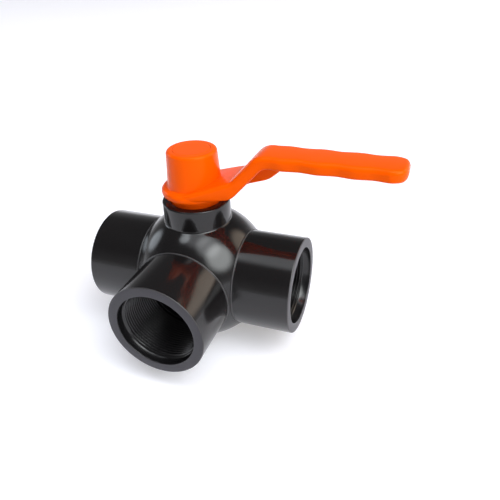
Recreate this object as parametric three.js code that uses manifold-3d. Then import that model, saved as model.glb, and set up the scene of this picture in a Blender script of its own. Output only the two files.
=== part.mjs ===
// Three way ball valve, female threaded ports, lever operated.
// Millimetres. +Z is up along the stem, +X runs to the right port, -Y runs out of the branch port.
// The origin is the centre of the ball, where the three port axes and the stem axis cross.

import * as THREE from 'three';
import { mergeVertices } from 'three/addons/utils/BufferGeometryUtils.js';
import Module from 'manifold-3d';

const wasm = await Module();
wasm.setup();

// ---------- driving dimensions ----------

const CLEARANCE = 0.3;            // running or seating gap between two pieces
const EDGE_BREAK = 0.6;           // small chamfer on moulded edges

// ball and seats
const BALL_R = 26.2;
const PASSAGE_R = 15.2;           // flow passage in connectors and ball
const SEAT_INNER_R = PASSAGE_R + 1;
const SEAT_OUTER_R = SEAT_INNER_R + 2.7;
const SEAT_LAP = 1.858;           // seat outside the line where its inner face meets the ball
const SEAT_FRONT = Math.sqrt(BALL_R ** 2 - (SEAT_OUTER_R - SEAT_LAP) ** 2);  // centre to inner face
const SEAT_BACK = SEAT_FRONT + 4.6;
const RING_SECTION = 1.6;         // thickness of the static seal rings
const TIP_R = SEAT_OUTER_R + 3.1;           // nose of a connector, round its seat
const TIP_START = SEAT_FRONT + 2.5;         // centre to the nose
const SHOULDER_START = TIP_START + 4.8;     // centre to the wider part of the nose

// ports
const PORT_LENGTH = 66.5;         // valve centre to port face
const PORT_OUTER_R = 30;          // outside of a port
const COLLAR_R = 30.6;            // thin ridge where a port meets the globe
const COLLAR_LENGTH = 0.8;
const SOCKET_R = 22.42;           // crests of the 1 1/2 inch pipe thread
const MOUTH_R = 23.9;             // plain mouth ahead of the thread
const MOUTH_DEPTH = 5;
const SOCKET_DEPTH = 38;          // port face to socket floor

// globe
const GLOBE_R = BALL_R + 17.3;
const GLOBE_WALL = 5.3;
const FLAT_OFFSET = SHOULDER_START + 3.8;   // centre to the flat that a connector butts on
const PORT_BORE_R = 26.6;         // hole in the globe that takes a connector

// stem, from the ball up to the boss that it turns in
const STEM_R = 7.7;
const STEM_COLLAR_R = STEM_R + 2.3;
const STEM_COLLAR_HEIGHT = 3;
const SQUARE_SIDE = 10.6;
const TANG_WIDTH = 6;
const TANG_LENGTH = 16;
const TANG_DEPTH = 6;
const WASHER_THICKNESS = 1.1;
const WASHER_SLACK = 0.7;         // total height left free round the thrust washer
const STEM_SEAL_SECTION = 1.1;
const GLAND_HEIGHT = 4.2;
const STEM_BORE_R = STEM_R + CLEARANCE;
const BOSS_R = STEM_BORE_R + 6;   // boss inside the globe under the neck
const BOSS_BOTTOM = BALL_R + 2 * CLEARANCE + STEM_COLLAR_HEIGHT + WASHER_THICKNESS
  + WASHER_SLACK;
const STEM_SEAL_HEIGHTS = [BOSS_BOTTOM + 2.8, BOSS_BOTTOM + 6.8];

// neck, and the top of the stem
const NECK_R = 20.6;
const NECK_MOUTH_R = 15.6;        // recess in the top of the neck
const NECK_MOUTH_FLOOR = BOSS_BOTTOM + 10.4;
const NECK_TOP = NECK_MOUTH_FLOOR + 9.8;
const STEM_ROUND_TOP = NECK_TOP + 4.2;
const STEM_TOP = STEM_ROUND_TOP + 11;

// handle hub
const SKIRT_R = 15.2;
const SKIRT_BOTTOM = NECK_TOP - 4.6;
const LIP_R = 19.9;
const LIP_BOTTOM = NECK_TOP + 4;
const LIP_TOP = LIP_BOTTOM + 5.2;
const HUB_BOTTOM_R = 16;
const HUB_TOP_R = 14.9;
const HUB_TOP = STEM_TOP + 16;
const HUB_EDGE = 1.8;             // rounding round the top of the hub
const HUB_WEB_TOP = STEM_TOP + 3.5;         // floor of the screw pocket
const POCKET_R = 8;
const CAP_R = 11;
const CAP_THICKNESS = 3.3;

// handle arm and grip
const GRIP_TOP = NECK_TOP + 34.4;
const GRIP_THICKNESS = 6.9;
const GRIP_HALF_WIDTH = 11.2;
const GRIP_WAVE = 0.45;           // finger waves along both sides
const WAVE_PITCH = 19.3;
const WAVE_CREST = 76;
const HANDLE_REACH = 121.6;       // stem axis to the end of the grip
const GRIP_END_R = 8;
const ARM_HALF_WIDTH = 19.2;      // where the arm leaves the hub
const ARM_ROOT_TOP = LIP_TOP + 1.2;
const ARM_ROOT_BOTTOM = LIP_BOTTOM + 3.2;
const LOW_BEND_X = 28.3;          // where the arm turns upwards
const LOW_BEND_TOP = GRIP_TOP - 14.3;
const LOW_BEND_BOTTOM = LIP_BOTTOM + 4.1;
const HIGH_BEND_X = 41.6;         // where the arm levels out into the grip
const HANDLE_WALL = 2.9;
const POCKET_START = 23;
const RIB_THICKNESS = 6;          // gusset under the bend
const CROSS_RIB = 2;

// handle screw
const SCREW_R = 2.5;
const SCREW_HEAD_R = 4.7;
const SCREW_HEAD_HEIGHT = 3.7;
const SCREW_TIP = STEM_TOP - 9;
const PLATE_R = 7.2;              // plain washer under the screw head
const PLATE_THICKNESS = 1.2;

// facets
const WIDE = 36;                  // segments round the large turned pieces
const SMALL = 20;                 // segments round the small ones
const ROUNDING = 4;               // steps in a rounded edge

// ---------- materials ----------

const paint = (color, roughness, metalness = 0) =>
  new THREE.MeshStandardMaterial({ color, roughness, metalness });
const blackPlastic = paint(0x0b0b0d, 0.18);
const orangePlastic = paint(0xff5a00, 0.3);
const ballPlastic = paint(0xd9d7cf, 0.3);
const seatPlastic = paint(0xf0efe8, 0.45);
const rubber = paint(0x161616, 0.7);
const steel = paint(0xb9bcc0, 0.3, 1);

// ---------- shape helpers ----------

// A closed three.js geometry as a solid, its faces pointing out.
function solid(geometry) {
  geometry.deleteAttribute('normal');
  geometry.deleteAttribute('uv');
  const merged = mergeVertices(geometry, 1e-4);
  const at = merged.getAttribute('position').array;
  const faces = [];
  let volume = 0;
  for (let i = 0; i < merged.index.count; i += 3) {
    const [a, b, c] = [0, 1, 2].map((k) => merged.index.getX(i + k));
    if (a === b || b === c || c === a) continue;
    faces.push(a, b, c);
    const [p, q, r] = [a, b, c].map((n) => new THREE.Vector3().fromArray(at, 3 * n));
    volume += p.dot(q.cross(r));
  }
  if (volume < 0) faces.reverse();
  return new wasm.Manifold(new wasm.Mesh({
    numProp: 3,
    vertProperties: new Float32Array(at),
    triVerts: new Uint32Array(faces),
  }));
}

// Turned solid about +Z from points [radius, height].
function turned(profile, segments = WIDE) {
  const points = profile.map(([r, z]) => new THREE.Vector2(r, z));
  if (profile[0][0] > 0) points.push(points[0].clone());
  return solid(new THREE.LatheGeometry(points, segments).rotateX(Math.PI / 2));
}

const rod = (r, low, high, segments) =>
  turned([[0, low], [r, low], [r, high], [0, high]], segments);
const tube = (inner, outer, low, high, segments) =>
  turned([[inner, low], [outer, low], [outer, high], [inner, high]], segments);

// Points on an arc, angles in degrees.
function arc(x, y, r, from, to, steps) {
  return Array.from({ length: steps + 1 }, (_, i) => {
    const a = THREE.MathUtils.degToRad(from + (to - from) * i / steps);
    return [x + r * Math.cos(a), y + r * Math.sin(a)];
  });
}

const globe = (r, bands, segments) => turned(
  arc(0, 0, r, -90, 90, bands).map(([x, y], i) => [i % bands ? x : 0, y]), segments);

const block = (x, y, z, sx, sy, sz) => solid(new THREE.BoxGeometry(sx, sy, sz).translate(x, y, z));

function outline(points) {
  return new THREE.Shape(points.map(([x, y]) => new THREE.Vector2(x, y)));
}

// Slab standing on an XZ outline, thick along Y.
function sideSlab(points, thickness) {
  return solid(new THREE.ExtrudeGeometry(outline(points), { depth: thickness, bevelEnabled: false })
    .translate(0, 0, -thickness / 2).rotateX(Math.PI / 2));
}

// Slab lying on an XY outline, from low to high.
function planSlab(points, low, high) {
  return solid(new THREE.ExtrudeGeometry(outline(points), { depth: high - low, bevelEnabled: false })
    .translate(0, 0, low));
}

// Open line with its inner corners rounded, corners as [x, y, radius].
function rounded(corners, steps = ROUNDING) {
  return corners.flatMap(([x, y, r], i) => {
    if (!r) return [[x, y]];
    const here = new THREE.Vector2(x, y);
    const back = new THREE.Vector2(...corners[i - 1].slice(0, 2)).sub(here).normalize();
    const on = new THREE.Vector2(...corners[i + 1].slice(0, 2)).sub(here).normalize();
    const half = Math.acos(back.dot(on)) / 2;
    const middle = back.clone().add(on).normalize().multiplyScalar(r / Math.sin(half)).add(here);
    const reach = r / Math.tan(half);
    const first = back.multiplyScalar(reach).add(here).sub(middle);
    const last = on.multiplyScalar(reach).add(here).sub(middle);
    const turn = Math.atan2(first.cross(last), first.dot(last));
    return Array.from({ length: steps + 1 }, (_, k) => {
      const p = first.clone().rotateAround(new THREE.Vector2(), turn * k / steps).add(middle);
      return [p.x, p.y];
    });
  });
}

function piece(name, body, material) {
  const { vertProperties, triVerts } = body.getMesh();
  const geometry = new THREE.BufferGeometry();
  geometry.setAttribute('position', new THREE.BufferAttribute(new Float32Array(vertProperties), 3));
  geometry.setIndex(new THREE.BufferAttribute(new Uint32Array(triVerts), 1));
  geometry.computeVertexNormals();
  const mesh = new THREE.Mesh(geometry, material);
  mesh.name = name;
  return mesh;
}

const halfTurn = Math.PI / 2;
const towards = {                 // turns +Z onto each port axis
  right: new THREE.Euler(0, halfTurn, 0),
  left: new THREE.Euler(0, -halfTurn, 0),
  branch: new THREE.Euler(halfTurn, 0, 0),
  back: new THREE.Euler(-halfTurn, 0, 0),
};
function turnTo(body, side) {
  const m = new THREE.Matrix4().makeRotationFromEuler(towards[side]);
  return body.transform(m.elements);
}

// ---------- valve body ----------

const bandAt = (r, x) => Math.sqrt(r * r - x * x);
const cavityR = GLOBE_R - GLOBE_WALL;
const seatPocketR = SEAT_OUTER_R + CLEARANCE;
const seatPocketFloor = SEAT_BACK + RING_SECTION + 2 * CLEARANCE;

function makeBody() {
  let body = globe(GLOBE_R, 18, WIDE)
    .add(turned([[0, 0], [NECK_R, 0], [NECK_R, NECK_TOP - EDGE_BREAK],
      [NECK_R - EDGE_BREAK, NECK_TOP], [0, NECK_TOP]]))
    .subtract(globe(cavityR, 10, WIDE));
  body = body.add(rod(BOSS_R, BOSS_BOTTOM, NECK_MOUTH_FLOOR));
  const backPost = turned([
    [PASSAGE_R, seatPocketFloor], [seatPocketR, seatPocketFloor], [seatPocketR, TIP_START],
    [TIP_R, TIP_START], [TIP_R, bandAt(cavityR, TIP_R) + 1], [PASSAGE_R, bandAt(cavityR, TIP_R) + 1],
  ]);
  body = body.add(turnTo(backPost, 'back'));
  for (const side of ['right', 'left', 'branch']) {
    body = body
      .subtract(turnTo(rod(GLOBE_R, FLAT_OFFSET, GLOBE_R + 1), side))
      .subtract(turnTo(rod(PORT_BORE_R, BALL_R, GLOBE_R), side));
  }
  return body
    .subtract(rod(NECK_MOUTH_R, NECK_MOUTH_FLOOR, NECK_TOP + 1))
    .subtract(rod(STEM_BORE_R, BOSS_BOTTOM - 1, NECK_MOUTH_FLOOR + 1));
}

// ---------- connectors, seats and their seal rings ----------

const noseR = PORT_BORE_R - CLEARANCE;
const collarStart = FLAT_OFFSET + CLEARANCE;
const grooveFloorR = noseR - RING_SECTION;
const grooveMiddle = (SHOULDER_START + collarStart) / 2;
const grooveHalf = RING_SECTION / 2;
const socketFloor = PORT_LENGTH - SOCKET_DEPTH;

function makeConnector() {
  return turned([
    [PASSAGE_R, seatPocketFloor], [seatPocketR, seatPocketFloor], [seatPocketR, TIP_START],
    [TIP_R, TIP_START], [TIP_R, SHOULDER_START], [noseR, SHOULDER_START],
    [noseR, grooveMiddle - grooveHalf], [grooveFloorR, grooveMiddle - grooveHalf],
    [grooveFloorR, grooveMiddle + grooveHalf], [noseR, grooveMiddle + grooveHalf],
    [noseR, collarStart], [COLLAR_R, collarStart], [COLLAR_R, collarStart + COLLAR_LENGTH],
    [PORT_OUTER_R, collarStart + COLLAR_LENGTH], [PORT_OUTER_R, PORT_LENGTH - EDGE_BREAK],
    [PORT_OUTER_R - EDGE_BREAK, PORT_LENGTH], [MOUTH_R, PORT_LENGTH],
    [MOUTH_R, PORT_LENGTH - MOUTH_DEPTH], [SOCKET_R, PORT_LENGTH - MOUTH_DEPTH - 1],
    [SOCKET_R, socketFloor], [PASSAGE_R, socketFloor],
  ]);
}

// Ring with a diamond section between two radii and two heights.
function sealRing(inner, outer, low, high, segments = SMALL) {
  const middle = (inner + outer) / 2;
  return turned([[inner, (low + high) / 2], [middle, low], [outer, (low + high) / 2],
    [middle, high]], segments);
}

function makeSeat() {
  const faceR = BALL_R + CLEARANCE;
  const from = THREE.MathUtils.radToDeg(Math.acos(bandAt(faceR, SEAT_FRONT) / faceR));
  const to = THREE.MathUtils.radToDeg(Math.acos(SEAT_INNER_R / faceR));
  const face = arc(0, 0, faceR, from, to, 2);
  return turned([[SEAT_OUTER_R, SEAT_BACK], [SEAT_OUTER_R, SEAT_FRONT], ...face,
    [SEAT_INNER_R, SEAT_BACK]], WIDE);
}

const makeSeatRing = () => sealRing(
  SEAT_INNER_R + CLEARANCE, SEAT_OUTER_R - CLEARANCE, SEAT_BACK + CLEARANCE,
  SEAT_BACK + CLEARANCE + RING_SECTION);
const makeConnectorRing = () => sealRing(
  grooveFloorR + CLEARANCE / 2, PORT_BORE_R - CLEARANCE / 2,
  grooveMiddle - grooveHalf + CLEARANCE / 2, grooveMiddle + grooveHalf - CLEARANCE / 2, WIDE);

function portGroup(side) {
  const group = new THREE.Group();
  group.setRotationFromEuler(towards[side]);
  group.add(
    piece(`${side}_seat`, makeSeat(), seatPlastic),
    piece(`${side}_seat_ring`, makeSeatRing(), rubber));
  if (side !== 'back') {
    group.add(
      piece(`${side}_connector`, makeConnector(), blackPlastic),
      piece(`${side}_connector_ring`, makeConnectorRing(), rubber));
  }
  return group;
}

// ---------- ball and stem ----------

const tangBottom = BALL_R - TANG_DEPTH + CLEARANCE;
const stemCollarBottom = BALL_R + 2 * CLEARANCE;
const stemCollarTop = stemCollarBottom + STEM_COLLAR_HEIGHT;

function makeBall() {
  const passage = rod(PASSAGE_R, 0, BALL_R + 1);
  return globe(BALL_R, 14, WIDE)
    .subtract(turnTo(rod(PASSAGE_R, -BALL_R - 1, BALL_R + 1), 'right'))
    .subtract(turnTo(passage, 'branch'))
    .subtract(block(0, 0, BALL_R, TANG_LENGTH + 2 * CLEARANCE, TANG_WIDTH + 2 * CLEARANCE,
      2 * TANG_DEPTH));
}

function makeStem() {
  const groove = STEM_R - STEM_SEAL_SECTION;
  const profile = [[0, stemCollarBottom], [STEM_COLLAR_R, stemCollarBottom],
    [STEM_COLLAR_R, stemCollarTop], [STEM_R, stemCollarTop]];
  for (const z of STEM_SEAL_HEIGHTS) {
    const half = STEM_SEAL_SECTION;
    profile.push([STEM_R, z - half], [groove, z - half], [groove, z + half], [STEM_R, z + half]);
  }
  profile.push([STEM_R, STEM_TOP], [0, STEM_TOP]);
  const squareHeight = STEM_TOP - STEM_ROUND_TOP;
  const squareMiddle = STEM_ROUND_TOP + squareHeight / 2;
  const round = tube(0.01, 2 * STEM_R, STEM_ROUND_TOP, STEM_TOP + 1, SMALL)
    .add(rod(STEM_R, STEM_ROUND_TOP, STEM_TOP + 1, SMALL))
    .subtract(block(0, 0, squareMiddle + 1, SQUARE_SIDE, SQUARE_SIDE, squareHeight + 4));
  return turned(profile, SMALL)
    .subtract(round)
    .add(block(0, 0, (tangBottom + stemCollarBottom + 1) / 2, TANG_LENGTH, TANG_WIDTH,
      stemCollarBottom + 1 - tangBottom))
    .subtract(rod(SCREW_R + CLEARANCE, STEM_ROUND_TOP, STEM_TOP + 1, 16));
}

const makeThrustWasher = () => {
  const low = (stemCollarTop + BOSS_BOTTOM - WASHER_THICKNESS) / 2;
  return tube(STEM_BORE_R, STEM_COLLAR_R, low, low + WASHER_THICKNESS, SMALL);
};
const makeStemRing = (z) => sealRing(
  STEM_R - STEM_SEAL_SECTION + CLEARANCE / 2, STEM_BORE_R - CLEARANCE / 4,
  z - STEM_SEAL_SECTION + CLEARANCE, z + STEM_SEAL_SECTION - CLEARANCE);
function makeGland() {
  const outer = NECK_MOUTH_R - CLEARANCE;
  const low = NECK_MOUTH_FLOOR + CLEARANCE;
  const high = low + GLAND_HEIGHT;
  return turned([[STEM_R + CLEARANCE, low], [outer, low], [outer, high - EDGE_BREAK],
    [outer - EDGE_BREAK, high], [STEM_R + CLEARANCE, high]]);
}

// ---------- handle ----------

const gripBottom = GRIP_TOP - GRIP_THICKNESS;
const riseSlope = (GRIP_TOP - LOW_BEND_TOP) / (HIGH_BEND_X - LOW_BEND_X);
const highBendBottomX = LOW_BEND_X + (gripBottom - LOW_BEND_BOTTOM) / riseSlope;

function armTop(drop) {
  const lift = drop / Math.cos(Math.atan(riseSlope));
  return rounded([
    [0, ARM_ROOT_TOP - drop, 0], [LOW_BEND_X + (lift - drop) * 0.45, LOW_BEND_TOP - drop * 1.05, 4],
    [HIGH_BEND_X + (lift - drop) / riseSlope, GRIP_TOP - drop, 12], [HANDLE_REACH, GRIP_TOP - drop, 0],
  ]);
}
function armBottom() {
  return rounded([
    [HANDLE_REACH, gripBottom, 0], [highBendBottomX, gripBottom, 4],
    [LOW_BEND_X, LOW_BEND_BOTTOM, 10], [0, ARM_ROOT_BOTTOM, 0],
  ]);
}

// Half width of the arm and grip at x, before the wall is taken off.
function halfWidth(x) {
  const taper = THREE.MathUtils.smoothstep(x, 4, HIGH_BEND_X + 8);
  const wave = GRIP_WAVE * Math.cos(2 * Math.PI * (x - WAVE_CREST) / WAVE_PITCH)
    * THREE.MathUtils.smoothstep(x, HIGH_BEND_X, HIGH_BEND_X + 10);
  return THREE.MathUtils.lerp(ARM_HALF_WIDTH, GRIP_HALF_WIDTH, taper) + wave;
}
function plan(start, end, inset, cornerR) {
  const straightEnd = end - cornerR;
  const side = [];
  for (let x = start; x < straightEnd - 1; x += 4) side.push([x, halfWidth(x) - inset]);
  const edge = halfWidth(straightEnd) - inset;
  side.push(...arc(straightEnd, edge - cornerR, cornerR, 90, 0, 5));
  return [...side, ...side.map(([x, y]) => [x, -y]).reverse()];
}

function makeHandle() {
  const hub = turned([
    [0, SKIRT_BOTTOM], [SKIRT_R, SKIRT_BOTTOM], [SKIRT_R, LIP_BOTTOM],
    ...arc(LIP_R - 2, LIP_BOTTOM + 2, 2, -90, 0, ROUNDING),
    ...arc(LIP_R - 2.4, LIP_TOP - 2.4, 2.4, 0, 75, ROUNDING),
    [HUB_BOTTOM_R, LIP_TOP + 0.4],
    ...arc(HUB_TOP_R - HUB_EDGE, HUB_TOP - HUB_EDGE, HUB_EDGE, 0, 90, ROUNDING), [0, HUB_TOP],
  ]);
  const far = HANDLE_REACH + 1;
  const arm = sideSlab([...armTop(0), ...armBottom()], 3 * ARM_HALF_WIDTH)
    .intersect(planSlab(plan(0, HANDLE_REACH, 0, GRIP_END_R), SKIRT_BOTTOM, GRIP_TOP + 2));
  const under = [...armTop(HANDLE_WALL), [far, GRIP_TOP - HANDLE_WALL], [far, 0], [0, 0]];
  let pocket = sideSlab(under, 3 * ARM_HALF_WIDTH).intersect(planSlab(
    plan(POCKET_START, HANDLE_REACH - HANDLE_WALL, HANDLE_WALL, GRIP_END_R - HANDLE_WALL),
    0, GRIP_TOP));
  for (let x = WAVE_CREST - WAVE_PITCH / 2; x < HANDLE_REACH - WAVE_PITCH / 2; x += WAVE_PITCH) {
    pocket = pocket.subtract(block(x, 0, GRIP_TOP, CROSS_RIB, 3 * GRIP_HALF_WIDTH,
      2 * (GRIP_THICKNESS - 1)));
  }
  const gusset = sideSlab([
    [LOW_BEND_X - 2, LOW_BEND_BOTTOM + 0.6],
    ...rounded([[LOW_BEND_X + 1, LOW_BEND_BOTTOM + 2, 0], [LOW_BEND_X + 7, LOW_BEND_BOTTOM + 6.3, 6],
      [LOW_BEND_X + 19.6, gripBottom - 9, 14], [highBendBottomX + 11.5, gripBottom, 0]]),
    [highBendBottomX + 11.5, gripBottom + 2], [HIGH_BEND_X, gripBottom + 2],
    [LOW_BEND_X - 2, LOW_BEND_TOP - HANDLE_WALL - 1],
  ], RIB_THICKNESS);
  const square = SQUARE_SIDE + 2 * CLEARANCE;
  const squareHigh = STEM_TOP + CLEARANCE;
  return arm.subtract(pocket).add(gusset).add(hub)
    .subtract(rod(STEM_R + CLEARANCE, SKIRT_BOTTOM - 1, STEM_ROUND_TOP + CLEARANCE, SMALL))
    .subtract(block(0, 0, (STEM_ROUND_TOP + squareHigh) / 2, square, square,
      squareHigh - STEM_ROUND_TOP))
    .subtract(rod(SCREW_R + CLEARANCE, STEM_TOP, HUB_WEB_TOP + 1, 16))
    .subtract(rod(POCKET_R, HUB_WEB_TOP, HUB_TOP, SMALL))
    .subtract(rod(CAP_R + CLEARANCE, HUB_TOP - CAP_THICKNESS - CLEARANCE, HUB_TOP + 1));
}

const plateBottom = HUB_WEB_TOP + CLEARANCE;
const headBottom = plateBottom + PLATE_THICKNESS + CLEARANCE;
const makePlate = () => tube(SCREW_R + CLEARANCE, PLATE_R, plateBottom,
  plateBottom + PLATE_THICKNESS, SMALL);
function makeScrew() {
  const top = headBottom + SCREW_HEAD_HEIGHT;
  const socket = solid(new THREE.CylinderGeometry(2.2, 2.2, 4, 6).rotateX(Math.PI / 2)
    .translate(0, 0, top));
  return turned([[0, SCREW_TIP], [SCREW_R - 0.6, SCREW_TIP], [SCREW_R, SCREW_TIP + 0.6],
    [SCREW_R, headBottom], [SCREW_HEAD_R, headBottom], [SCREW_HEAD_R, top - EDGE_BREAK],
    [SCREW_HEAD_R - EDGE_BREAK, top], [0, top]], 20).subtract(socket);
}
function makeCap() {
  const low = HUB_TOP - CAP_THICKNESS;
  const skirt = POCKET_R - CLEARANCE;
  return turned([[0, low], [skirt - 1.6, low], [skirt - 1.6, low - 2.4], [skirt, low - 2.4],
    [skirt, low], [CAP_R, low], [CAP_R, HUB_TOP - 0.4], [CAP_R - 0.4, HUB_TOP], [0, HUB_TOP]]);
}

// ---------- assembly ----------

const valve = new THREE.Group();
valve.add(piece('valve_body', makeBody(), blackPlastic));
for (const side of ['right', 'left', 'branch', 'back']) valve.add(portGroup(side));

const lever = new THREE.Group();
lever.add(
  piece('ball', makeBall(), ballPlastic),
  piece('stem', makeStem(), steel),
  piece('handle', makeHandle(), orangePlastic),
  piece('handle_washer', makePlate(), steel),
  piece('handle_screw', makeScrew(), steel),
  piece('handle_cap', makeCap(), orangePlastic));
STEM_SEAL_HEIGHTS.forEach((z, i) => lever.add(
  piece(['lower_stem_ring', 'upper_stem_ring'][i], makeStemRing(z), rubber)));

valve.add(
  lever,
  piece('thrust_washer', makeThrustWasher(), seatPlastic),
  piece('stem_gland', makeGland(), blackPlastic));

export default valve;
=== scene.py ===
"""Visual model of the three way valve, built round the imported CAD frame."""
import math

import bmesh
import bpy
from mathutils import Matrix, Vector


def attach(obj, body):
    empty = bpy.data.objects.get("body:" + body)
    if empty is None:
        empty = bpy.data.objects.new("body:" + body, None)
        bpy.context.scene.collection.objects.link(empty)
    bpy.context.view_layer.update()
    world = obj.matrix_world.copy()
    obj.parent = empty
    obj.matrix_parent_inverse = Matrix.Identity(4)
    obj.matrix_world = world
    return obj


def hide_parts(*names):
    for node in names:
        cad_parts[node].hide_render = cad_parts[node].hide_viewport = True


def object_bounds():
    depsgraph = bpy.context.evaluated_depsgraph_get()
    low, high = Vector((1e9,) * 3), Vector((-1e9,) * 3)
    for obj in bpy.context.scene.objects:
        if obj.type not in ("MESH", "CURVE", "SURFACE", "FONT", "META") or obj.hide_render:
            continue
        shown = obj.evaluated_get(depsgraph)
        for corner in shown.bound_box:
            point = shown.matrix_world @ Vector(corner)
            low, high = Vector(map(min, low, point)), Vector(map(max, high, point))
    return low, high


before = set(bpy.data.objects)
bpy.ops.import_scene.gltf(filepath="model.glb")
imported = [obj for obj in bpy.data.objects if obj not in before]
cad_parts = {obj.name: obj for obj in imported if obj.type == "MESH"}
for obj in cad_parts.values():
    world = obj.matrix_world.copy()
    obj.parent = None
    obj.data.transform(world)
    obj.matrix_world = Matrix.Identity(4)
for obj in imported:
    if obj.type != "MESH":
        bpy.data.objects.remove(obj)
CAD_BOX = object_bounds()

MM = 0.001
TURN = 2 * math.pi
SEGMENTS = 192

# ---------- sizes, mm, from the centre of the ball ----------

PORT_LENGTH = 66.5
PORT_R = 30.0
COLLAR_R = 30.6
COLLAR_LENGTH = 0.9
THREAD_CREST_R = 22.42
MOUTH_R = 23.9
THREAD_ROOT_R = 23.6
THREAD_PITCH = 1.87
LEAD_IN = 1.4
MOUTH_DEPTH = 5.0
SOCKET_FLOOR = 28.5
PASSAGE_R = 15.2
GLOBE_R = 43.5
CAVITY_R = 38.2
FLAT_OFFSET = 31.0
PORT_BORE_R = 26.6
NECK_R = 20.6
NECK_TOP = 51.8
NECK_MOUTH_R = 15.6
NECK_MOUTH_FLOOR = 42.0
STEM_BORE_R = 8.0
BOSS_R = 14.0
BOSS_BOTTOM = 31.6
NOSE_R = 26.3
TIP_R = 22.0
TIP_START = 22.4
SHOULDER_START = 27.2
SEAT_POCKET_R = 19.2
SEAT_POCKET_FLOOR = 26.7
GAP = 0.3
GROOVE_DEPTH = 1.6
GROOVE_HALF_WIDTH = 0.8
POST_TIP = 33.4
POST_ROOT = 36.8
BALL_R = 26.2
SLOT_LENGTH = 16.6
SLOT_WIDTH = 6.6
SLOT_DEPTH = 6.0

SKIRT_R = 15.2
SKIRT_BOTTOM = 47.2
LIP_R = 20.0
LIP_BOTTOM = 55.9
LIP_TOP = 61.0
HUB_BOTTOM_R = 16.2
HUB_TOP_R = 14.8
HUB_TOP = 83.0
CAP_R = 11.0
CAP_FLOOR = 79.4
CAP_SPIGOT_R = 7.7
STEM_POCKET_R = 8.0
SCREW_BORE_R = 2.8
SQUARE = 11.2
GRIP_TOP = 86.5
GRIP_BOTTOM = 79.4
GRIP_HALF_WIDTH = 11.1
REACH = 121.4
WAVE = 0.5
WAVE_PITCH = 19.3
WAVE_CREST = 76.0
WALL = 2.9
EDGE_R = 2.8
FOOT_R = 1.6
GRIP_END_R = 9.0
GRIP_CORNER_R = 8.0
GRIP_END_STEPS = 24
ARM_START = -9.0
ROOT_HALF_WIDTH = 19.4
CHANNEL_START = 22.0
RIBS = 3
GUSSET_END = 58.0
GUSSET_WIDTH = 6.0


# ---------- meshes ----------

def finish_mesh(bm, name, sharp=32):
    """A bmesh in mm becomes an object in metres, smooth apart from its sharp edges."""
    bmesh.ops.remove_doubles(bm, verts=bm.verts, dist=1e-4)
    bmesh.ops.dissolve_degenerate(bm, edges=bm.edges, dist=1e-5)
    bmesh.ops.recalc_face_normals(bm, faces=bm.faces)
    bmesh.ops.scale(bm, vec=(MM, MM, MM), verts=bm.verts)
    mesh = bpy.data.meshes.new(name)
    bm.to_mesh(mesh)
    bm.free()
    obj = bpy.data.objects.new(name, mesh)
    bpy.context.scene.collection.objects.link(obj)
    smooth(obj, sharp)
    return obj


def smooth(obj, sharp=32):
    for face in obj.data.polygons:
        face.use_smooth = True
    obj.data.set_sharp_from_angle(angle=math.radians(sharp))


def arc(x, y, r, start, end, steps):
    """Points on an arc, angles in degrees."""
    return [(x + r * math.cos(math.radians(start + (end - start) * i / steps)),
             y + r * math.sin(math.radians(start + (end - start) * i / steps)))
            for i in range(steps + 1)]


def rounded(corners, steps=5):
    """Open line whose corners (x, y, radius) are rounded."""
    out = []
    for i, (x, y, r) in enumerate(corners):
        if not r:
            out.append((x, y))
            continue
        here = Vector((x, y))
        back = (Vector(corners[i - 1][:2]) - here).normalized()
        on = (Vector(corners[i + 1][:2]) - here).normalized()
        half = back.angle(on) / 2
        middle = here + (back + on).normalized() * (r / math.sin(half))
        reach = r / math.tan(half)
        first = here + back * reach - middle
        last = here + on * reach - middle
        turn = math.atan2(first.cross(last), first.dot(last))
        for k in range(steps + 1):
            out.append(tuple(middle + Matrix.Rotation(turn * k / steps, 2) @ first))
    return out


SIDES = {
    "up": Matrix.Identity(3),
    "right": Matrix.Rotation(math.pi / 2, 3, "Y"),
    "left": Matrix.Rotation(-math.pi / 2, 3, "Y"),
    "branch": Matrix.Rotation(math.pi / 2, 3, "X"),
    "back": Matrix.Rotation(-math.pi / 2, 3, "X"),
}


def turn_profile(bm, profile, side="up", segments=SEGMENTS, closed=True):
    """Adds the surface turned from (radius, height) points round the axis of one side."""
    spin = SIDES[side]
    rings = []
    for r, z in profile:
        if r < 1e-6:
            rings.append([bm.verts.new(spin @ Vector((0, 0, z)))] * segments)
        else:
            rings.append([bm.verts.new(spin @ Vector((r * math.cos(TURN * k / segments),
                                                      r * math.sin(TURN * k / segments), z)))
                          for k in range(segments)])
    pairs = list(zip(rings, rings[1:]))
    if closed:
        pairs.append((rings[-1], rings[0]))
    for low, high in pairs:
        for k in range(segments):
            n = (k + 1) % segments
            corners = []
            for v in (low[k], low[n], high[n], high[k]):
                if v not in corners:
                    corners.append(v)
            if len(corners) > 2:
                bm.faces.new(corners)
    return rings


def turned(name, profile, side="up", segments=SEGMENTS, sharp=32):
    bm = bmesh.new()
    closed = profile[0][0] > 1e-6
    turn_profile(bm, profile, side, segments, closed)
    return finish_mesh(bm, name, sharp)


def boolean(obj, other, how):
    """Joins or cuts with another object, which is used up."""
    step = obj.modifiers.new(how, "BOOLEAN")
    step.operation = how
    step.solver = "EXACT"
    step.object = other
    apply(obj)
    bpy.data.objects.remove(other, do_unlink=True)


def apply(obj):
    graph = bpy.context.evaluated_depsgraph_get()
    mesh = bpy.data.meshes.new_from_object(obj.evaluated_get(graph), depsgraph=graph)
    obj.modifiers.clear()
    obj.data = mesh


def box_piece(name, x, y, z, sx, sy, sz):
    bm = bmesh.new()
    bmesh.ops.create_cube(bm, size=1)
    bmesh.ops.scale(bm, vec=(sx, sy, sz), verts=bm.verts)
    bmesh.ops.translate(bm, vec=(x, y, z), verts=bm.verts)
    return finish_mesh(bm, name)


# ---------- materials ----------

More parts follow.
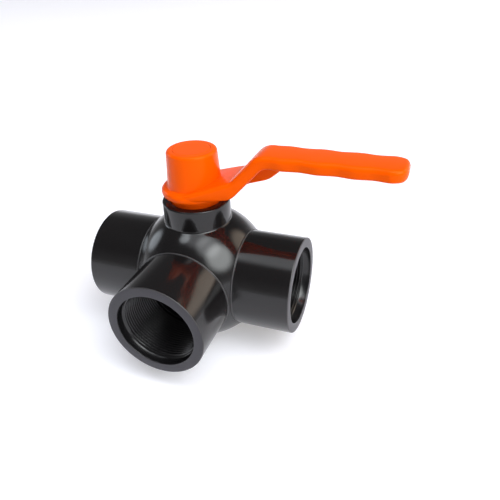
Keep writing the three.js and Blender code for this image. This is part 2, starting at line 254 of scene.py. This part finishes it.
def moulded(name, color, roughness, speckle=0.0, grain=0.03, spread=0.04):
    """Moulded plastic: faint orange peel, uneven gloss and a slight drift in colour."""
    mat = bpy.data.materials.new(name)
    mat.use_nodes = True
    tree = mat.node_tree
    shader = tree.nodes["Principled BSDF"]
    shader.inputs["IOR"].default_value = 1.49
    coords = tree.nodes.new("ShaderNodeTexCoord")

    def noise(scale, detail):
        node = tree.nodes.new("ShaderNodeTexNoise")
        node.inputs["Scale"].default_value = scale
        node.inputs["Detail"].default_value = detail
        tree.links.new(coords.outputs["Object"], node.inputs["Vector"])
        return node.outputs["Fac"]

    def spread_over(fac, low, high):
        node = tree.nodes.new("ShaderNodeMapRange")
        node.inputs["From Min"].default_value = 0.3
        node.inputs["From Max"].default_value = 0.7
        node.inputs["To Min"].default_value = low
        node.inputs["To Max"].default_value = high
        tree.links.new(fac, node.inputs["Value"])
        return node.outputs["Result"]

    tree.links.new(spread_over(noise(38, 4), roughness - spread, roughness + spread),
                   shader.inputs["Roughness"])
    ramp = tree.nodes.new("ShaderNodeMix")
    ramp.data_type = "RGBA"
    ramp.inputs["A"].default_value = (*[c * (1 - speckle) for c in color], 1)
    ramp.inputs["B"].default_value = (*color, 1)
    tree.links.new(spread_over(noise(22, 3), 0, 1), ramp.inputs["Factor"])
    tree.links.new(ramp.outputs["Result"], shader.inputs["Base Color"])
    bump = tree.nodes.new("ShaderNodeBump")
    bump.inputs["Strength"].default_value = grain
    bump.inputs["Distance"].default_value = 0.0004
    tree.links.new(noise(900, 2), bump.inputs["Height"])
    tree.links.new(bump.outputs["Normal"], shader.inputs["Normal"])
    return mat


def machined(name, color, roughness):
    """Turned stainless steel with uneven gloss."""
    mat = moulded(name, color, roughness, speckle=0.06, grain=0.05, spread=0.06)
    mat.node_tree.nodes["Principled BSDF"].inputs["Metallic"].default_value = 1
    return mat


black = moulded("black_polypropylene", (0.0075, 0.0066, 0.0068), 0.13, speckle=0.15, grain=0.035)
face_black = moulded("black_cut_face", (0.026, 0.024, 0.031), 0.42, speckle=0.12, grain=0.12)
# thread black a little darker than the body black: painted shade inside the sockets
thread_black_painted_shade = moulded("black_thread_painted_shade", (0.0065, 0.006, 0.0066), 0.2, speckle=0.15, grain=0.03)
# lighter black for the collar beads and the port face rims: on the beads a painted highlight line, on
# the trimmed rims burr and painted highlight together
burr_and_painted_highlight_black = moulded("black_trimmed_edge_and_painted_highlight", (0.05, 0.047, 0.049), 0.36, speckle=0.4, grain=0.1)
orange = moulded("orange_nylon", (0.97, 0.1, 0.0002), 0.2, speckle=0.04, grain=0.04)
gloss = orange.node_tree.nodes["Principled BSDF"].inputs
gloss["Specular IOR Level"].default_value = 0.3
gloss["Specular Tint"].default_value = (1, 0.55, 0.16, 1)
gloss["IOR"].default_value = 1.4
ball_black = moulded("black_ball", (0.014, 0.014, 0.016), 0.12, speckle=0.1, grain=0.01)
ptfe = moulded("white_ptfe", (0.8, 0.79, 0.75), 0.5, speckle=0.04, grain=0.05)
rubber = moulded("black_rubber", (0.014, 0.014, 0.014), 0.62, speckle=0.2, grain=0.15)
steel = machined("stainless_steel", (0.6, 0.6, 0.6), 0.26)

# the last word found in a node's name decides, so a stem ring is rubber and a stem gland black
LOOKS = {"stem": steel, "screw": steel, "washer": steel, "seat": ptfe, "thrust_washer": ptfe,
         "ring": rubber, "gland": black, "ball": ball_black}

for node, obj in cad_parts.items():
    pick = black
    for word, look in LOOKS.items():
        if word in node:
            pick = look
    obj.data.materials.clear()
    obj.data.materials.append(pick)


# ---------- globe body ----------

def make_body():
    neck_fillet = 1.3
    fillet_z = math.sqrt((GLOBE_R + neck_fillet) ** 2 - (NECK_R + neck_fillet) ** 2)
    meet = math.degrees(math.atan2(fillet_z, NECK_R + neck_fillet))
    outer = arc(0, 0, GLOBE_R, -90, meet, 96)
    outer[0] = (0, -GLOBE_R)
    outer += arc(NECK_R + neck_fillet, fillet_z, neck_fillet, 180 + meet, 180, 6)[1:]
    neck = rounded([
        (NECK_R, fillet_z + 0.5, 0), (NECK_R, NECK_TOP, 0.9), (NECK_MOUTH_R, NECK_TOP, 0.6),
        (NECK_MOUTH_R, NECK_MOUTH_FLOOR, 0.5), (STEM_BORE_R, NECK_MOUTH_FLOOR, 0.3),
        (STEM_BORE_R, BOSS_BOTTOM, 0.3), (BOSS_R, BOSS_BOTTOM, 0.8), (BOSS_R, 35.0, 0)])
    top = math.degrees(math.asin(BOSS_R / CAVITY_R))
    inner = arc(0, 0, CAVITY_R, 90 - top, -90, 64)
    inner[-1] = (0, -CAVITY_R)
    body = turned("globe_body", outer + neck + inner)
    post = turned("post", [(PASSAGE_R, SEAT_POCKET_FLOOR), (SEAT_POCKET_R, SEAT_POCKET_FLOOR),
                           (SEAT_POCKET_R, TIP_START), (TIP_R, TIP_START), (TIP_R, POST_TIP),
                           (PASSAGE_R, POST_ROOT)], "back", 96)
    boolean(body, post, "UNION")
    for side in ("right", "left", "branch"):
        cutter = turned("cutter", [(0, 20), (PORT_BORE_R, 20), (PORT_BORE_R, FLAT_OFFSET),
                                   (GLOBE_R, FLAT_OFFSET), (GLOBE_R, GLOBE_R + 2), (0, GLOBE_R + 2)],
                        side, 128)
        boolean(body, cutter, "DIFFERENCE")
    smooth(body)
    return body


body = make_body()
body.data.materials.append(black)
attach(body, "housing")
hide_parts("valve_body")


# ---------- connectors with their pipe threads ----------

def thread_radius(phase):
    """Radius along one pitch: a rounded V, crest at both ends and root in the middle."""
    wave = 0.5 - 0.5 * math.cos(TURN * phase)
    tri = 1 - abs(2 * phase - 1)
    return THREAD_CREST_R + (THREAD_ROOT_R - THREAD_CREST_R) * (0.8 * wave + 0.2 * tri)


def add_thread(bm, side, start, end, per_pitch=12):
    """Helical thread between two heights; its rows follow the helix and stop at the end rings."""
    spin = SIDES[side]
    turns = math.ceil((end - start) / THREAD_PITCH) + 1
    rows = (turns + 1) * per_pitch + 1
    grid = []
    for row in range(rows):
        line = []
        for k in range(SEGMENTS):
            part = k / SEGMENTS
            z = start + THREAD_PITCH * (row / per_pitch - 1 + part)
            r = thread_radius((row / per_pitch) % 1)
            lead = max(0, z - (end - LEAD_IN)) / LEAD_IN
            r = max(r, THREAD_CREST_R + (MOUTH_R - THREAD_CREST_R) * lead)
            if z <= start:
                z, r = start, THREAD_CREST_R
            if z >= end:
                z, r = end, MOUTH_R
            a = TURN * part
            line.append(bm.verts.new(spin @ Vector((r * math.cos(a), r * math.sin(a), z))))
        grid.append(line)
    for row in range(rows - 1):
        for k in range(SEGMENTS):
            if k < SEGMENTS - 1:
                corners = (grid[row][k], grid[row][k + 1], grid[row + 1][k + 1], grid[row + 1][k])
            elif row + per_pitch + 1 < rows:
                corners = (grid[row][k], grid[row + per_pitch][0],
                           grid[row + per_pitch + 1][0], grid[row + 1][k])
            else:
                continue
            bm.faces.new(corners)


def make_connector(side):
    bm = bmesh.new()
    thread_end = PORT_LENGTH - MOUTH_DEPTH
    collar = FLAT_OFFSET + GAP
    groove = (SHOULDER_START + collar) / 2
    profile = rounded([
        (THREAD_CREST_R, SOCKET_FLOOR + 1, 0), (THREAD_CREST_R, SOCKET_FLOOR, 0.4),
        (PASSAGE_R, SOCKET_FLOOR, 0.5), (PASSAGE_R, SEAT_POCKET_FLOOR, 0.2),
        (SEAT_POCKET_R, SEAT_POCKET_FLOOR, 0.2), (SEAT_POCKET_R, TIP_START, 0.3),
        (TIP_R, TIP_START, 0.5), (TIP_R, SHOULDER_START, 0.3), (NOSE_R, SHOULDER_START, 0.3),
        (NOSE_R, groove - GROOVE_HALF_WIDTH, 0.1),
        (NOSE_R - GROOVE_DEPTH, groove - GROOVE_HALF_WIDTH, 0.2),
        (NOSE_R - GROOVE_DEPTH, groove + GROOVE_HALF_WIDTH, 0.2),
        (NOSE_R, groove + GROOVE_HALF_WIDTH, 0.1), (NOSE_R, collar, 0.2),
        (PORT_R - 0.4, collar, 0.1), (PORT_R - 0.4, FLAT_OFFSET + 0.02, 0.05),
        (COLLAR_R, FLAT_OFFSET + 0.02, 0.42), (COLLAR_R, FLAT_OFFSET + COLLAR_LENGTH, 0.42),
        (PORT_R, FLAT_OFFSET + COLLAR_LENGTH + 0.1, 0.3), (PORT_R, PORT_LENGTH, 0.7),
        (MOUTH_R, PORT_LENGTH, 0.45), (MOUTH_R, thread_end, 0)])
    turn_profile(bm, profile, side, SEGMENTS, closed=False)
    add_thread(bm, side, SOCKET_FLOOR + 1, thread_end)
    obj = finish_mesh(bm, side + "_threaded_connector", 72)
    for mat in (black, face_black, thread_black_painted_shade, burr_and_painted_highlight_black):
        obj.data.materials.append(mat)
    along = SIDES[side] @ Vector((0, 0, 1))
    for face in obj.data.polygons:
        reach = face.center.dot(along) / MM
        off = (face.center / MM - along * reach).length
        # faces inside the socket take the darker thread black, painted shade in the recess
        if off < MOUTH_R + 0.1 and SOCKET_FLOOR < reach < PORT_LENGTH - 0.3:
            face.material_index = 2
        elif reach > PORT_LENGTH - 0.02:
            face.material_index = 1
        # collar beads and face rims: painted highlight line, with some burr on the trimmed rims
        elif off > PORT_R + 0.1 or (reach > PORT_LENGTH - 0.5 and off > PORT_R - 0.55):
            face.material_index = 3
    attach(obj, "housing")
    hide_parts(side + "_connector")


for side in ("right", "left", "branch"):
    make_connector(side)


# ---------- ball ----------

def make_ball():
    points = arc(0, 0, BALL_R, -90, 90, 64)
    points[0], points[-1] = (0, -BALL_R), (0, BALL_R)
    ball = turned("t_port_ball", points)
    boolean(ball, turned("run", [(0, -30), (PASSAGE_R, -30), (PASSAGE_R, 30), (0, 30)],
                         "right", 96), "DIFFERENCE")
    boolean(ball, turned("branch", [(0, 0), (PASSAGE_R, 0), (PASSAGE_R, 30), (0, 30)],
                         "branch", 96), "DIFFERENCE")
    boolean(ball, box_piece("slot", 0, 0, BALL_R, SLOT_LENGTH, SLOT_WIDTH, 2 * SLOT_DEPTH), "DIFFERENCE")
    smooth(ball)
    ball.data.materials.append(ball_black)
    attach(ball, "lever")
    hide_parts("ball")


make_ball()


# ---------- handle ----------

def bend_line(corners, counts):
    """Rounded line sampled with a set number of steps on each straight and each bend."""
    dense = rounded(corners, counts["bend"])
    bends = len(corners) - 2
    out = [dense[0]]
    at = 0
    for leg in range(bends + 1):
        n = counts["legs"][leg]
        a, b = Vector(dense[at]), Vector(dense[at + 1])
        out += [tuple(a.lerp(b, (i + 1) / n)) for i in range(n)]
        at += 1
        if leg < bends:
            out += dense[at + 1:at + 1 + counts["bend"]]
            at += counts["bend"]
    return out


def blend(x, low, high):
    t = min(1, max(0, (x - low) / (high - low)))
    return t * t * (3 - 2 * t)


def half_width(x):
    wide = math.sqrt(max(0, ROOT_HALF_WIDTH ** 2 - min(x, 0) ** 2))
    taper = blend(x, 2, 50)
    wave = WAVE * math.cos(TURN * (x - WAVE_CREST) / WAVE_PITCH) * blend(x, 46, 56)
    return wide + (GRIP_HALF_WIDTH - wide) * taper + wave


def section(half, height, top_r, foot_r, wall, depth):
    """One cross section of the arm as (y, z), z from the foot up: crowned top, rounded edges
    and the channel moulded into the underside."""
    crown = 0.2
    lip = 0.35
    flat = half - top_r
    side = [(flat * i / 7, height - crown * (i / 7) ** 2) for i in range(7)]
    side += [(y, z - crown) for y, z in arc(flat, height - top_r, top_r, 90, 0, 7)]
    side += arc(half - foot_r, foot_r, foot_r, 0, -90, 5)
    inner = half - wall
    lip_z = min(lip, depth / 2)
    side += arc(inner + lip, lip_z, lip_z, -90, -180, 3)
    turn = min(1.0, depth / 2)
    side.append((inner + lip - lip_z, depth * 0.4))
    side += arc(inner - turn, depth - turn, turn, 0, 90, 4)
    side += [(inner * 0.6, depth), (inner * 0.3, depth)]
    mirror = [(-y, z) for y, z in reversed(side[1:])]
    return side + [(0, depth)] + mirror


def make_arm():
    counts = {"legs": (26, 14, 150), "bend": 12}
    grip_end = REACH - GRIP_END_R
    top = bend_line([(ARM_START, 58.0, 0), (28.2, 70.7, 5), (42.0, GRIP_TOP, 12),
                     (grip_end, GRIP_TOP, 0)], counts)
    foot = bend_line([(ARM_START, 57.0, 0), (28.1, 59.9, 10), (46.2, GRIP_BOTTOM, 5),
                      (grip_end, GRIP_BOTTOM, 0)], counts)
    stations = []
    for (tx, tz), (fx, fz) in zip(top, foot):
        x = (tx + fx) / 2
        stations.append((Vector((tx, 0, tz)), Vector((fx, 0, fz)), half_width(x), x))
    base = half_width(grip_end)
    for i in range(1, GRIP_END_STEPS + 1):
        a = math.pi / 2 * i / GRIP_END_STEPS
        x = grip_end + GRIP_END_R * math.sin(a)
        half = base - GRIP_CORNER_R + GRIP_CORNER_R * math.cos(a)
        run = max(0, x - (REACH - EDGE_R)) / EDGE_R
        edge = EDGE_R * (1 - math.sqrt(max(0, 1 - run ** 2)))
        stations.append((Vector((x, 0, GRIP_TOP - edge)), Vector((x, 0, GRIP_BOTTOM + edge)),
                         half, x))
    bm = bmesh.new()
    rings = []
    for high, low, half, x in stations:
        up = high - low
        height = up.length
        up.normalize()
        full = height - WALL
        closed = blend(x, REACH - 4.4, REACH - 3.4)
        depth = full * blend(x, CHANNEL_START, CHANNEL_START + 2) * (1 - closed)
        for k in range(RIBS):
            rib = WAVE_CREST + WAVE_PITCH * (k - 0.5)
            near = 1 - blend(abs(x - rib), 0.9, 1.7)
            depth = min(depth, full - (full - 1.0) * near)
        depth = max(depth, 0.05)
        widest = height / 2 - 0.05
        points = section(half, height, min(EDGE_R, widest), min(FOOT_R, widest), WALL, depth)
        rings.append([bm.verts.new(low + up * z + Vector((0, y, 0))) for y, z in points])
    count = len(rings[0])
    for a, b in zip(rings, rings[1:]):
        for k in range(count):
            n = (k + 1) % count
            bm.faces.new((a[k], a[n], b[n], b[k]))
    bm.faces.new(rings[0])
    bm.faces.new(rings[-1])
    return finish_mesh(bm, "cranked_handle", 38)


def make_gusset():
    foot = rounded([(26, 60.6, 0), (35.5, 66.2, 8), (47.5, 70.1, 16),
                    (GUSSET_END, GRIP_BOTTOM, 0)], 8)
    outline = foot + [(GUSSET_END, GRIP_BOTTOM + 2), (42, GRIP_BOTTOM + 2), (26, 68)]
    bm = bmesh.new()
    half = GUSSET_WIDTH / 2
    ends = []
    for inset, y in ((1.0, -half), (0.3, -half + 0.3), (0, -half + 1),
                     (0, half - 1), (0.3, half - 0.3), (1.0, half)):
        ring = []
        for i, (x, z) in enumerate(outline):
            lift = inset if i < len(foot) else 0
            ring.append(bm.verts.new((x - lift * 0.4, y, z + lift * 0.9)))
        ends.append(ring)
    for a, b in zip(ends, ends[1:]):
        for k in range(len(outline)):
            n = (k + 1) % len(outline)
            bm.faces.new((a[k], a[n], b[n], b[k]))
    bm.faces.new(ends[0])
    bm.faces.new(ends[-1])
    return finish_mesh(bm, "gusset")


def make_handle():
    hub = turned("hub", rounded([
        (0, SKIRT_BOTTOM, 0), (SKIRT_R, SKIRT_BOTTOM, 0.6), (SKIRT_R, LIP_BOTTOM, 0.8),
        (LIP_R, LIP_BOTTOM, 2.2), (LIP_R, LIP_TOP, 2.6), (HUB_BOTTOM_R, LIP_TOP + 0.3, 1.2),
        (HUB_TOP_R, HUB_TOP, 1.9), (0, HUB_TOP, 0)], 8))
    handle = make_arm()
    boolean(handle, make_gusset(), "UNION")
    boolean(handle, hub, "UNION")
    bore = turned("bore", [
        (0, 40), (STEM_POCKET_R, 40), (STEM_POCKET_R, 56.3), (SCREW_BORE_R, 56.3),
        (SCREW_BORE_R, 70.5), (STEM_POCKET_R, 70.5), (STEM_POCKET_R, CAP_FLOOR),
        (CAP_R + 0.15, CAP_FLOOR), (CAP_R + 0.15, HUB_TOP - 0.15), (CAP_R + 0.35, HUB_TOP + 0.05),
        (CAP_R + 0.35, HUB_TOP + 1), (0, HUB_TOP + 1)], "up", 96)
    boolean(handle, bore, "DIFFERENCE")
    boolean(handle, box_piece("square", 0, 0, 61.65, SQUARE, SQUARE, 11.3), "DIFFERENCE")
    smooth(handle, 36)
    handle.data.materials.append(orange)
    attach(handle, "lever")
    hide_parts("handle")
    cap_bottom = 79.7
    cap = turned("hub_cap", rounded([
        (0, cap_bottom, 0), (6.1, cap_bottom, 0.2), (6.1, 77.3, 0.2),
        (CAP_SPIGOT_R, 77.3, 0.4), (CAP_SPIGOT_R, cap_bottom, 0.1), (CAP_R, cap_bottom, 0.2),
        (CAP_R, HUB_TOP, 0.3), (CAP_R - 2, HUB_TOP - 0.05, 0),
        (0, HUB_TOP - 0.05, 0)], 4))
    cap.data.materials.append(orange)
    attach(cap, "lever")
    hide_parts("handle_cap")


make_handle()


# ---------- stage, light, camera: metres, and angles in degrees ----------

FLOOR_SIZE = 40.0
FLOOR_GAP = 0.0002
FLOOR_LIFT = 0.3
LAMP_DISTANCE = 5.0
CAMERA_DISTANCE = 0.3401
WORLD_SHADES = ((0.0, (0.8, 0.8, 0.83, 1)), (0.14, (0.34, 0.34, 0.35, 1)),
                (0.5, (0.12, 0.12, 0.125, 1)))


def heading(azimuth, elevation):
    """Direction from the object: azimuth 0 is towards the front, 90 to the right port."""
    a, e = math.radians(azimuth), math.radians(elevation)
    return Vector((math.sin(a) * math.cos(e), -math.cos(a) * math.cos(e), math.sin(e)))


def make_stage():
    """Pale floor. Seen straight or in gloss it lifts to the white of the backdrop, and the
    shadow under the object stays."""
    bm = bmesh.new()
    bmesh.ops.create_grid(bm, x_segments=1, y_segments=1, size=FLOOR_SIZE / 2 / MM)
    floor = finish_mesh(bm, "floor")
    floor.location.z = CAD_BOX[0][2] - FLOOR_GAP
    mat = bpy.data.materials.new("pale_floor")
    mat.use_nodes = True
    tree = mat.node_tree
    shader = tree.nodes["Principled BSDF"]
    shader.inputs["Base Color"].default_value = (0.8, 0.785, 0.845, 1)
    shader.inputs["Roughness"].default_value = 0.8
    shader.inputs["Specular IOR Level"].default_value = 0.1
    shader.inputs["Emission Color"].default_value = (1, 1, 1, 1)
    paths = tree.nodes.new("ShaderNodeLightPath")
    seen = paths.outputs["Is Camera Ray"]
    for also in ("Is Glossy Ray", "Is Transmission Ray"):
        either = tree.nodes.new("ShaderNodeMath")
        either.operation = "MAXIMUM"
        tree.links.new(seen, either.inputs[0])
        tree.links.new(paths.outputs[also], either.inputs[1])
        seen = either.outputs["Value"]
    lift = tree.nodes.new("ShaderNodeMath")
    lift.operation = "MULTIPLY"
    lift.inputs[1].default_value = FLOOR_LIFT
    tree.links.new(seen, lift.inputs[0])
    tree.links.new(lift.outputs["Value"], shader.inputs["Emission Strength"])
    floor.data.materials.append(mat)


def soft_lamp(name, azimuth, elevation, half_angle, radiance, color=(1, 1, 1)):
    """Round softbox, brightest in the middle and fading out at its rim."""
    radius = LAMP_DISTANCE * math.tan(math.radians(half_angle))
    data = bpy.data.lights.new(name, "AREA")
    data.shape = "DISK"
    data.size = 2 * radius
    data.energy = math.pi * math.pi * radius ** 2 * radiance
    data.color = color
    data.use_nodes = True
    tree = data.node_tree
    place = tree.nodes.new("ShaderNodeNewGeometry")
    reach = tree.nodes.new("ShaderNodeVectorMath")
    reach.operation = "DISTANCE"
    reach.inputs[1].default_value = (0.5, 0.5, 0)
    fade = tree.nodes.new("ShaderNodeMapRange")
    fade.interpolation_type = "SMOOTHSTEP"
    fade.inputs["From Min"].default_value = 0.22
    fade.inputs["From Max"].default_value = 0.5
    fade.inputs["To Min"].default_value = 1
    fade.inputs["To Max"].default_value = 0
    tree.links.new(place.outputs["Parametric"], reach.inputs[0])
    tree.links.new(reach.outputs["Value"], fade.inputs["Value"])
    tree.links.new(fade.outputs["Result"], tree.nodes["Emission"].inputs["Strength"])
    obj = bpy.data.objects.new(name, data)
    obj.location = LAMP_DISTANCE * heading(azimuth, elevation)
    obj.rotation_euler = (-obj.location).to_track_quat("-Z", "Y").to_euler()
    obj.visible_camera = False
    bpy.context.scene.collection.objects.link(obj)


def make_light():
    """Grey world, lighter at the horizon, and six soft lamps."""
    world = bpy.data.worlds.new("studio")
    bpy.context.scene.world = world
    world.use_nodes = True
    tree = world.node_tree
    coords = tree.nodes.new("ShaderNodeTexCoord")
    split = tree.nodes.new("ShaderNodeSeparateXYZ")
    ramp = tree.nodes.new("ShaderNodeValToRGB")
    stops = ramp.color_ramp.elements
    stops.new(WORLD_SHADES[1][0])
    for stop, (height, shade) in zip(stops, WORLD_SHADES):
        stop.position = height
        stop.color = shade
    tree.links.new(coords.outputs["Generated"], split.inputs["Vector"])
    tree.links.new(split.outputs["Z"], ramp.inputs["Fac"])
    tree.links.new(ramp.outputs["Color"], tree.nodes["Background"].inputs["Color"])
    soft_lamp("window", 66, 42, 28, 6.2, (0.96, 1.0, 1.0))
    soft_lamp("skylight", 55, 66, 24, 3.2, (0.94, 0.98, 1.0))
    soft_lamp("ceiling", -20, 84, 24, 1.7, (0.93, 0.96, 1.0))
    soft_lamp("warm_wall", 128, 26, 23, 2.2, (1.0, 0.82, 0.66))
    soft_lamp("far_window", -98, 17, 15, 2.9, (0.84, 0.92, 1.0))
    soft_lamp("spot", -62, 67, 10, 4.5, (0.9, 0.95, 1.0))


def make_camera():
    place = CAMERA_DISTANCE * heading(27.67, 33.87)
    aim = Vector((0.0296, 0.0098, 0.0133))
    roll = math.radians(-2.54)
    look = (aim - place).normalized()
    level = look.cross(Vector((0, 0, 1))).normalized()
    above = level.cross(look)
    right = math.cos(roll) * level + math.sin(roll) * above
    up = right.cross(look)
    data = bpy.data.cameras.new("camera")
    data.sensor_width = 36
    data.lens = 36.88
    data.clip_start = 0.01
    camera = bpy.data.objects.new("camera", data)
    camera.matrix_world = Matrix((
        (right.x, up.x, -look.x, place.x), (right.y, up.y, -look.y, place.y),
        (right.z, up.z, -look.z, place.z), (0, 0, 0, 1)))
    bpy.context.scene.collection.objects.link(camera)
    bpy.context.scene.camera = camera


make_stage()
make_light()
make_camera()
bpy.context.scene.view_settings.view_transform = "Standard"
